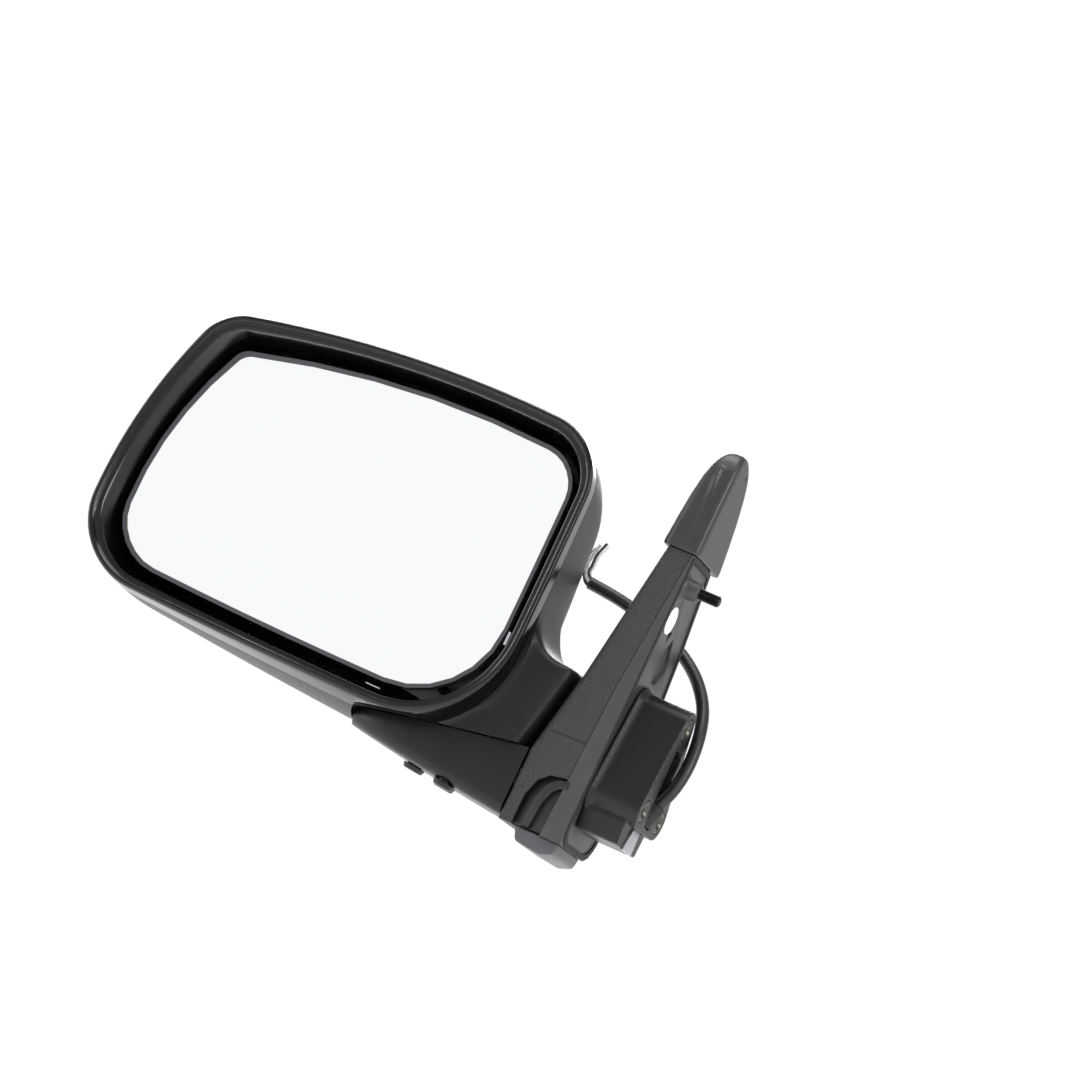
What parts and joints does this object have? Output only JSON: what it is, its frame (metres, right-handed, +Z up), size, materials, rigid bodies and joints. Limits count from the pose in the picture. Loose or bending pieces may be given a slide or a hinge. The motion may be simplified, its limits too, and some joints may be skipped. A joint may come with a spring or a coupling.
{
  "type": "car door mirror",
  "caption": "Left-hand car door mirror with folding head, power-adjusted glass, chrome front cap, clear side indicator, sail plate and harness lead.",
  "frame": {"origin": "on the door face, at the middle of the plate's width and the height of its top boss", "axes": "+X from the mirror into the car door, +Y forwards, +Z up"},
  "size_m": [0.336, 0.1003, 0.2237],
  "materials": {
    "inner_plate": "satin moulded plastic",
    "seal_rubber": "matt rubber",
    "pale_seal": "satin pale rubber",
    "grained_black": "coarse moulded grain",
    "boot_rubber": "satin rubber",
    "cast_metal": "as cast",
    "satin_black": "satin moulded plastic",
    "housing_black": "fine moulded grain",
    "gloss_black": "glossy",
    "chrome_plate": "polished chrome plating",
    "steel": "plain steel",
    "dark_steel": "black oxide",
    "brass_insert": "machined",
    "clear_lens": "clear moulded lens",
    "reflector": "metallised",
    "board_green": "lacquered board",
    "drive_black": "moulded",
    "drive_white": "acetal",
    "cable_sheath": "smooth sheath",
    "wire_core": "insulated wires",
    "label": "blank paper",
    "tray_grey": "moulded",
    "mirror": "silvered glass"
  },
  "bodies": {
    "base": {"mounting_plate": "inner_plate", "door_gasket": "seal_rubber", "lower_seal": "pale_seal", "sail_cover": "grained_black", "top_boot": "boot_rubber", "base_bracket": "cast_metal", "arm_cover": "satin_black", "arm_plugs": "satin_black", "boss_housing": "satin_black", "boss_inserts": "brass_insert", "locating_stud": "dark_steel", "cable_gland": "seal_rubber", "harness_cable": "cable_sheath", "harness_wires": "wire_core", "round_sticker": "label", "fold_spring": "steel", "detent_ring": "steel", "bracket_screws": "steel"},
    "head": {"head_frame": "cast_metal", "pivot_tube": "steel", "spring_retainer": "steel", "head_housing": "housing_black", "chrome_cap": "chrome_plate", "rim_bezel": "gloss_black", "indicator_surround": "gloss_black", "indicator_lens": "clear_lens", "indicator_reflector": "reflector", "indicator_board": "board_green", "actuator_body": "drive_black", "actuator_cover": "drive_black", "drive_motors": "steel", "drive_worms": "drive_white", "actuator_screws": "steel", "bezel_clips": "steel", "head_harness": "cable_sheath"},
    "gimbal": {"gimbal_ring": "drive_white"},
    "glass": {"glass_holder": "tray_grey", "heater_pad": "seal_rubber", "mirror_glass": "mirror"},
    "tilt_jack": {"tilt_jack": "drive_white"},
    "pan_jack": {"pan_jack": "drive_white"},
    "tilt_gear": {"tilt_gear": "drive_white"},
    "pan_gear": {"pan_gear": "drive_white"}
  },
  "joints": [
    {"name": "head_fold", "type": "hinge", "parent": "base", "child": "head", "pos_m": [-0.078, -0.012, -0.047], "axis": [-0.1736, 0, 0.9848], "range_deg": [0, 65]},
    {"name": "glass_tilt", "type": "hinge", "parent": "head", "child": "gimbal", "pos_m": [-0.1785, -0.013, 0.0315], "axis": [1, 0, 0], "range_deg": [-7, 7]},
    {"name": "glass_pan", "type": "hinge", "parent": "gimbal", "child": "glass", "pos_m": [-0.1785, -0.013, 0.0315], "axis": [0, 0, 1], "range_deg": [-7, 7]},
    {"name": "tilt_jack_slide", "type": "slide", "parent": "head", "child": "tilt_jack", "axis": [0, 1, 0], "range_m": [-0.0034, 0.0034]},
    {"name": "pan_jack_slide", "type": "slide", "parent": "head", "child": "pan_jack", "axis": [0, 1, 0], "range_m": [-0.0034, 0.0034]},
    {"name": "tilt_gear_spin", "type": "hinge", "parent": "head", "child": "tilt_gear", "pos_m": [-0.1785, 0.0055, 0.0585], "axis": [0, 1, 0], "range_deg": [-200, 200]},
    {"name": "pan_gear_spin", "type": "hinge", "parent": "head", "child": "pan_gear", "pos_m": [-0.1515, 0.0055, 0.0315], "axis": [0, 1, 0], "range_deg": [-200, 200]}
  ],
  "couplings": [
    {"joint": "tilt_jack_slide", "follows": "glass_tilt", "m_per_rad": -0.027},
    {"joint": "pan_jack_slide", "follows": "glass_pan", "m_per_rad": 0.027},
    {"joint": "tilt_gear_spin", "follows": "glass_tilt", "ratio": -28.274},
    {"joint": "pan_gear_spin", "follows": "glass_pan", "ratio": 28.274}
  ]
}
